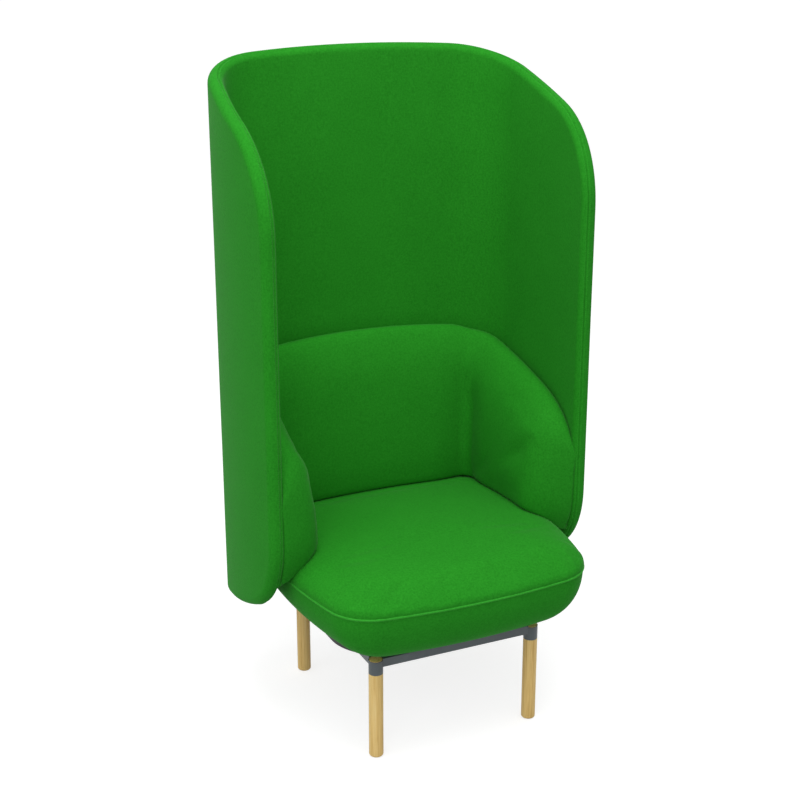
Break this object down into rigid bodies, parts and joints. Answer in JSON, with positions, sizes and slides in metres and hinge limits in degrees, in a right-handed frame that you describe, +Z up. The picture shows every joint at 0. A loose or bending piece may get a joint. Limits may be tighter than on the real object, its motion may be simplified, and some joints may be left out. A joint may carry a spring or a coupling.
{
  "type": "acoustic high back lounge chair",
  "caption": "Upholstered lounge chair: a low padded back with arms inside a tall curved acoustic screen, a piped seat cushion and round wooden legs.",
  "frame": {"origin": "on the floor, in the middle of the chair's width and depth", "axes": "+Z up, -Y is the front that the sitter faces, +X is to the left of a sitter, the right of someone facing the chair"},
  "size_m": [0.74, 0.65, 1.39],
  "materials": {
    "upholstery": "woven wool, matt",
    "piping": "fabric-covered cord, matt",
    "foam": "open-cell foam",
    "plywood": "bent plywood, raw",
    "black_board": "plywood stained black",
    "leg_wood": "oak, clear matt lacquer",
    "frame_paint": "satin powder coat",
    "glide_plastic": "moulded, matt",
    "fastener_steel": "zinc plated"
  },
  "bodies": {
    "root": {"bracket_screws": "fastener_steel", "collar_front_left": "frame_paint", "collar_front_right": "frame_paint", "collar_rear_left": "frame_paint", "collar_rear_right": "frame_paint", "glide_front_left": "glide_plastic", "glide_front_right": "glide_plastic", "glide_rear_left": "glide_plastic", "glide_rear_right": "glide_plastic", "leg_front_left": "leg_wood", "leg_front_right": "leg_wood", "leg_rear_left": "leg_wood", "leg_rear_right": "leg_wood", "leg_screws": "fastener_steel", "low_back_board": "plywood", "low_back_cover": "upholstery", "low_back_foam": "foam", "rail_front": "frame_paint", "rail_left": "frame_paint", "rail_rear": "frame_paint", "rail_right": "frame_paint", "screen_board": "plywood", "screen_bolts": "fastener_steel", "screen_inner_pad": "upholstery", "screen_outer_pad": "upholstery", "screen_tee_nuts": "fastener_steel", "seat_board": "black_board", "seat_bolts": "fastener_steel", "seat_cover_lower": "upholstery", "seat_cover_top": "upholstery", "seat_foam": "foam", "seat_piping": "piping", "seat_tee_nuts": "fastener_steel", "shell_brackets": "frame_paint"}
  },
  "joints": []
}
